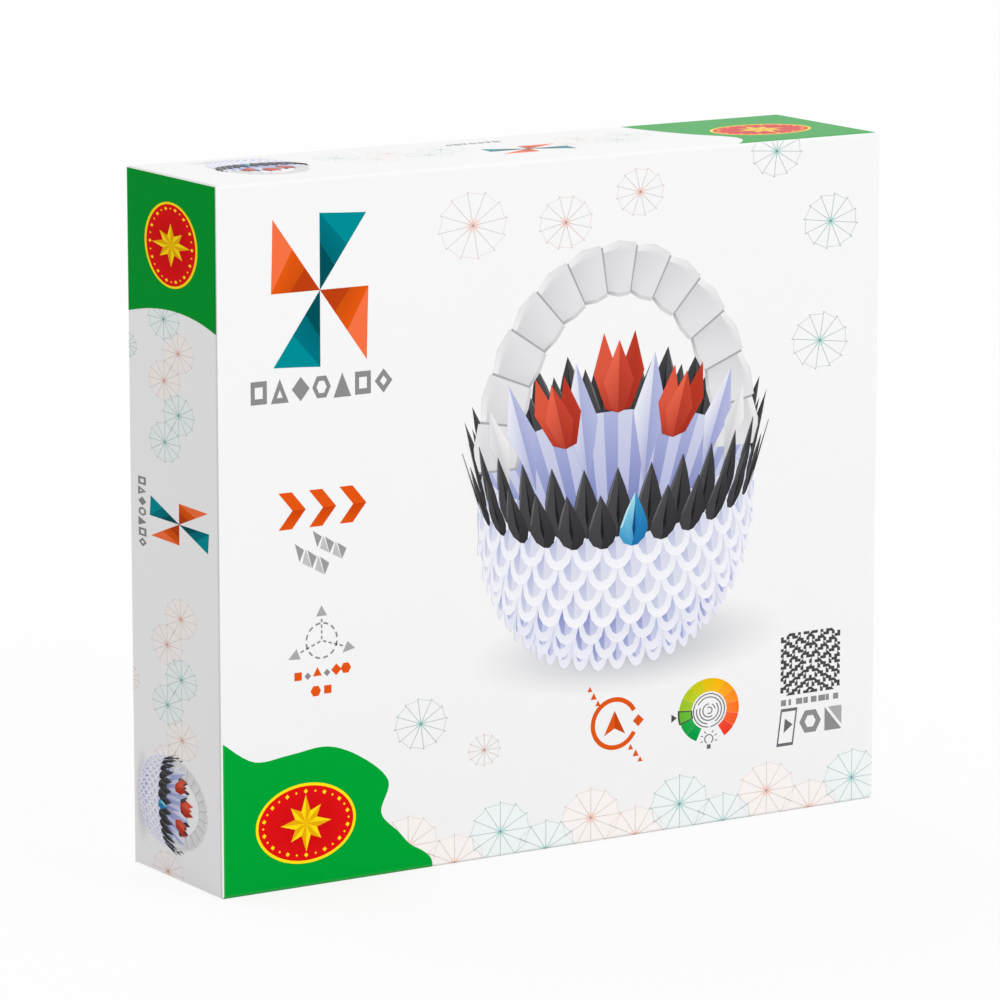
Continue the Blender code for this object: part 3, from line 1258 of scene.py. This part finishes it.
# Flat petals as (corners, dark, raised)
tulipPetals = (
    ([(0, 0), (-0.06, 0.5), (-0.6, 1.0), (-0.98, 0.5), (-0.5, 0.06)], 0.35, 0),
    ([(0, 0), (0.5, 0.06), (0.98, 0.5), (0.6, 1.0), (0.06, 0.5)], 1.0, 0),
    ([(0, 0), (0, 0.9), (-0.58, 0.4), (-0.3, 0.08)], 0.0, 1),
    ([(0, 0), (0.3, 0.08), (0.58, 0.4), (0, 0.9)], 0.7, 1),
)
leafPetals = (([(0, 0), (0, 1), (-0.5, 0.55)], 0.1, 0), ([(0, 0), (0.5, 0.55), (0, 1)], 0.9, 0))


def basketLevel(part, index=0):
    first, step = basketLevels[part]
    return first + step * index


def clampShare(value):
    return max(0.0, min(1.0, value))


def seenPoint(radius, angle, up):
    # Picture coordinates. Angle 0 faces the viewer.
    tilt = math.radians(basket["tilt"])
    return (radius * math.sin(angle), up * math.cos(tilt) - radius * math.cos(angle) * math.sin(tilt))


def onBowl(outline, radius, angle, up, tall, flare):
    # Wraps a unit's (across, along) corners round the bowl. It leans out by flare at its tip.
    # A unit beyond the bowl's side is folded back at the side, and a far one is seen from inside.
    half = math.pi / basket["around"]
    corners = []
    for across, along in outline:
        turned = angle + across * half
        if abs(angle) < math.pi / 2:
            turned = max(-math.pi / 2, min(math.pi / 2, turned))
        corners.append(seenPoint(radius + flare * along, turned, up + tall * along))
    return corners if abs(angle) < math.pi / 2 else corners[::-1]


def unitFacets(radius, angle, up, paper, level):
    # A folded unit seen from outside. The further it is turned away, the darker it is.
    turned = basket["sideShade"] * (0.5 - 0.5 * math.cos(angle))
    shapes = []
    for outline, first, second, raised in unitParts:
        corners = onBowl(outline, radius, angle, up, basket["unitTall"], -basket["unitHang"])
        tones = []
        for across, along in outline:
            tone = blendInk(paper[first], paper[second], clampShare(basket["unitShade"] - along))
            tones.append(mixedInk(tone, paper["hollow"], turned))
        shapes.append(flatInk(corners, tones, level + ink["crease"] * raised))
    return shapes


def featherFacets(radius, angle, up, tall, paper, level):
    # A tall pointed unit
    shades = dict(paper, edge=blendInk(paper["foot"], (255, 255, 255), basket["edgeLight"]))
    shapes = []
    for outline, first, second, raised in featherParts:
        tones = [mixedInk(shades[first], shades[second], clampShare(1 - along)) for across, along in outline]
        if abs(angle) > math.pi / 2:
            tones = tones[::-1]
        corners = onBowl(outline, radius, angle, up, tall, basket["rimFlare"])
        shapes.append(flatInk(corners, tones, level + ink["crease"] * raised))
    return shapes


def petalFacets(petals, foot, tall, wide, lean, paper, level):
    # Petals darker towards the foot
    shapes = []
    for corners, dark, raised in petals:
        outline = [(foot[0] + x * wide + lean * y * tall, foot[1] + y * tall) for x, y in corners]
        base = blendInk(paper["foot"], paper["hollow"], dark)
        tones = [mixedInk(base, paper["deep"], max(0.0, 0.6 - 1.1 * y)) for x, y in corners]
        shapes.append(flatInk(outline, tones, level + ink["crease"] * raised))
    return shapes


def handleFacets(index, level):
    # One wide folded strip of the handle, with a bevel on each side and a dark line at its foot
    count = basket["handleUnits"]
    tall = basket["foreshortening"]
    rimUp = basket["rowHeight"] * len(basket["radii"])
    rimRadius = basket["radii"][-1] - basket["handleInset"]
    lines = []
    for extra, spread in ((0.0, 0.90), (0.05, 0.905), (0.5, 1.08), (1.0, 1.0)):
        way = math.pi * (index + extra) / count
        spot = Vector((-rimRadius * math.cos(way), tall * (rimUp + basket["handleRise"] * math.sin(way))))
        slope = Vector((rimRadius * math.sin(way), tall * basket["handleRise"] * math.cos(way)))
        side = Vector((-slope.y, slope.x)).normalized() * spread * basket["handleWidth"] / 2
        lines.append([tuple(spot + side * share) for share in (1, 0.74, -0.86, -1)])
    tone = {label: linear(*value) for label, value in paperTones["grey"].items()}
    shapes = []
    for near, far, low, high in ((0, 1, "hollow", "foot"), (1, 2, "top", "foot"), (2, 3, "deep", "top")):
        outline = [lines[spot][far] for spot in (0, 2, 3)] + [lines[spot][near] for spot in (3, 2, 0)]
        shapes.append(flatInk(outline, [tone[label] for label in (low, high, high, high, high, low)], level))
    foot = [lines[0][3], lines[1][3], lines[1][0], lines[0][0]]
    shapes.append(flatInk(foot, tone["deep"], level + ink["step"]))
    return shapes


def drawBasket():
    around = basket["around"]
    radii = basket["radii"]
    step = 2 * math.pi / around
    rimUp = basket["rowHeight"] * len(radii)
    rimRadius = radii[-1]
    quarter = math.pi / 2

    def rowAngles(offset, isNear):
        angles = [step * (index + offset) for index in range(-around // 2, around // 2)]
        return [angle for angle in angles if (abs(angle) < quarter * 0.985) == isNear]

    # The far rim, the inside and the body under the units
    shapes = []
    for row, offset in ((0, 0.5), (1, 0.0)):
        for angle in rowAngles(offset, False):
            shapes += featherFacets(rimRadius - 1.5 * row, angle, rimUp - 1 - 4 * row, basket["farTall"],
                                    paperTones["charcoal"], basketLevel("farRim", row))
    paper = paperTones["lavender"]
    for index in range(around):
        first, second = quarter + step / 2 * index, quarter + step / 2 * (index + 1)
        pleat = [seenPoint(rimRadius - 2, angle, rimUp - 2) for angle in (first, second)]
        pleat += [seenPoint(rimRadius * 0.6, angle, rimUp - 26) for angle in (second, first)]
        upper, lower = ("top", "hollow") if index % 2 else ("hollow", "deep")
        tones = [linear(*paper[label]) for label in (upper, upper, lower, lower)]
        shapes.append(flatInk(pleat, tones, basketLevel("pleats")))
    tall = basket["foreshortening"]
    sides = [(radius, tall * basket["rowHeight"] * row) for row, radius in enumerate(radii)]
    sides.append((rimRadius, tall * rimUp))
    body = [(-x, y) for x, y in sides[::-1]]
    body += [seenPoint(radii[0], math.radians(angle), 0) for angle in range(-80, 81, 10)]
    body += sides
    body += [seenPoint(rimRadius, math.radians(angle), rimUp) for angle in range(80, -81, -10)]
    # Handle, leaves and tulips
    for index in range(basket["handleUnits"]):
        shapes += handleFacets(index, basketLevel("handle", index))
    base = tall * rimUp
    for index, (x, y, long, lean) in enumerate(basket["leaves"]):
        paper = paperTones["lavender" if index < 4 else "grey"]
        shapes += petalFacets(leafPetals, (x, base + y), long, long * 0.3, lean, paper,
                              basketLevel("leaves", index))
    for index, (x, y, long, lean) in enumerate(basket["tulips"]):
        shapes += petalFacets(tulipPetals, (x, base + y), long, long * 0.38, lean, paperTones["red"],
                              basketLevel("tulips", index))
    shapes.append(flatInk(body, linear(*paperTones["white"]["hollow"]), basketLevel("body")))
    # Near rows from the foot up, each hanging over the one below, then two rows of tall points
    for row, radius in enumerate(radii):
        for angle in rowAngles(0.5 * (row % 2), True):
            shapes += unitFacets(radius, angle, basket["rowHeight"] * row, paperTones[rowPapers[row]],
                                 basketLevel("rows", row))
    for row, offset, size in ((0, 0.0, 1.0), (1, 0.5, 0.8)):
        for angle in rowAngles(offset, True):
            middle = row == 1 and abs(angle) < step * 0.6 and angle > 0
            shapes += featherFacets(rimRadius + 0.6 * row, angle, rimUp - 2.5 - 3.6 * row,
                                    basket["rimTall"] * size, paperTones["blue" if middle else "charcoal"],
                                    basketLevel("nearRim", row))
    return shapes


shadow = {
    "centre": (4, -6.5),
    "half": (50, 13),
    "colour": (174, 176, 184),
    "falloff": 1.3,
    "rings": 9,
    "corners": 44,
}


def drawShadow():
    # The picture's own soft shadow, fading out to the board's white
    turns = [math.tau * spot / shadow["corners"] for spot in range(shadow["corners"])]
    x, y = shadow["centre"]
    rings = []
    tones = []
    for index in range(shadow["rings"]):
        share = 1 - index / shadow["rings"]
        wide, tall = [half * share for half in shadow["half"]]
        rings.append([(x + wide * math.cos(turn), y + tall * math.sin(turn)) for turn in turns])
        tones.append(mixedInk(board["white"], shadow["colour"], (1 - share) ** shadow["falloff"]))
    return [ringInk(rings, tones, ink["thin"], False)]


# Everything on its panel: (art, centre, turn, size)

emblemArt = drawEmblem()
tokenArt = drawTokens()
badgeArt = drawBadge()
pictureArt = drawShadow() + drawBasket()
endArt = (
    (badgeArt, 23, 162.6, (0.74, 1.3)), (emblemArt, 25.7, 92.4, (0.38, 0.79)),
    (tokenArt, 6.6, 92.7, (0.44, 0.68)), (pictureArt, 7.1, 19.6, (0.275, 0.318)),
)

layout = {
    "front": [
        (pictureArt, (118, 57.5), 0, 1), (emblemArt, (29.3, 152), 0, 1), (tokenArt, (29.6, 127.6), 0, 1),
        (badgeArt, (24.3, 16.6), 0, 1), (drawSmallMarks(), (0, 0), 0, 1), (drawInfoMarks(), (0, 0), 0, 1),
        (drawRing(), (117.3, 30.8), 0, (1, 0.945)), (drawGauge(), (147.0, 30.7), 0, (1, 0.909)),
    ],
    "left": [(art, (x, y), -90, size) for art, x, y, size in endArt],
    "right": [(art, (depth - x, y), 90, size) for art, x, y, size in endArt],
    "top": [
        (pictureArt, (27, 217.3), 180, 0.27), (tokenArt, (96.7, 216.5), 180, 0.4),
        (emblemArt, (103.4, 200), 90, (0.4, 0.6)), (badgeArt, (176.5, 201), 180, 1.0),
    ],
    "back": [
        (emblemArt, (100, backStart + 62), 180, 0.9), (tokenArt, (100, backStart + 90), 180, 0.9),
    ],
}
for panel, entries in layout.items():
    shapes = []
    for art, centre, turn, size in entries:
        shapes += placed(art, centre, turn, size)
    mergePieces("print" + panel.capitalize(), [solidInk(shapes, panel)])
print("print done")


# Floor, light and camera

studio = {
    "floorSize": 6,
    "floorColour": (249, 249, 249),
    "floorBounce": (203, 203, 203),
    "backdrop": 0.99,
    "floorGlow": 0.85,
    "ambient": 0.86,
    "keyLight": {"strength": 1.11, "from": (0.44, -0.87, 0.21), "softness": 20.0},
    "backLight": {"strength": 0.6, "from": (0.0, 0.74, 0.67), "softness": 50.0},
}


def seenDirectly(tree):
    # 1 where the ray comes from the camera, a reflection or through glass, else 0
    calc = mathsIn(tree)
    ray = addNode(tree, "ShaderNodeLightPath").outputs
    seen = calc("MAXIMUM", ray["Is Camera Ray"], ray["Is Glossy Ray"])
    return calc("MAXIMUM", seen, ray["Is Transmission Ray"])


def makeFloor():
    material, tree, calc = newMaterial("floorPaper")
    seen = seenDirectly(tree)
    # The floor that is seen is white. A greyer one lights the carton from below.
    shader = tree.nodes["Principled BSDF"]
    feed(tree, shader, {
        "Base Color": mixNode(tree, seen, linear(*studio["floorBounce"]), linear(*studio["floorColour"])),
        "Roughness": 0.9,
        "Specular IOR Level": 0.0,
    })
    # Most of the white is a glow, and the rest keeps the shadow
    glow = addNode(tree, "ShaderNodeEmission", {"Strength": studio["backdrop"]})
    share = calc("MULTIPLY", seen, studio["floorGlow"])
    surface = addNode(tree, "ShaderNodeMixShader", {0: share, 1: shader.outputs[0], 2: glow.outputs[0]})
    feed(tree, tree.nodes["Material Output"], {"Surface": surface.outputs[0]})
    sheet = bmesh.new()
    bmesh.ops.create_grid(sheet, x_segments=1, y_segments=1, size=studio["floorSize"])
    floor = makeObject("floor", sheet, [material])


def makeLight():
    world = bpy.data.worlds.new("studio")
    bpy.context.scene.world = world
    world.use_nodes = True
    tree = world.node_tree
    calc = mathsIn(tree)
    ambient = studio["ambient"]
    feed(tree, tree.nodes["Background"], {
        "Color": (1, 1, 1, 1),
        "Strength": calc("MULTIPLY_ADD", seenDirectly(tree), studio["backdrop"] - ambient, ambient),
    })
    for label in ("keyLight", "backLight"):
        lamp = bpy.data.lights.new(label, "SUN")
        lamp.energy = studio[label]["strength"]
        lamp.angle = math.radians(studio[label]["softness"])
        light = bpy.data.objects.new(label, lamp)
        light.rotation_euler = Vector(studio[label]["from"]).to_track_quat("Z", "Y").to_euler()
        bpy.context.scene.collection.objects.link(light)


view = {
    "azimuth": -32.230,
    "elevation": 10.831,
    "distance": 1.4783,
    "lens": 204.8,
    "sensorWidth": 36,
    "nearest": 0.01,
    "aimAcross": -0.00289,
    "aimUp": -0.00193,
}


def makeCamera():
    azimuth = math.radians(view["azimuth"])
    elevation = math.radians(view["elevation"])
    back = Vector((math.sin(azimuth) * math.cos(elevation), -math.cos(azimuth) * math.cos(elevation),
                   math.sin(elevation)))
    right = Vector((math.cos(azimuth), math.sin(azimuth), 0))
    up = back.cross(right)
    aim = Vector((0, 0, height * mm / 2)) + right * view["aimAcross"] + up * view["aimUp"]
    lens = bpy.data.cameras.new("camera")
    lens.lens = view["lens"]
    lens.sensor_width = view["sensorWidth"]
    lens.clip_start = view["nearest"]
    camera = bpy.data.objects.new("camera", lens)
    camera.location = aim + back * view["distance"]
    camera.rotation_euler = back.to_track_quat("Z", "Y").to_euler()
    bpy.context.scene.collection.objects.link(camera)
    bpy.context.scene.camera = camera


makeFloor()
makeLight()
makeCamera()
bpy.context.scene.view_settings.view_transform = "Standard"
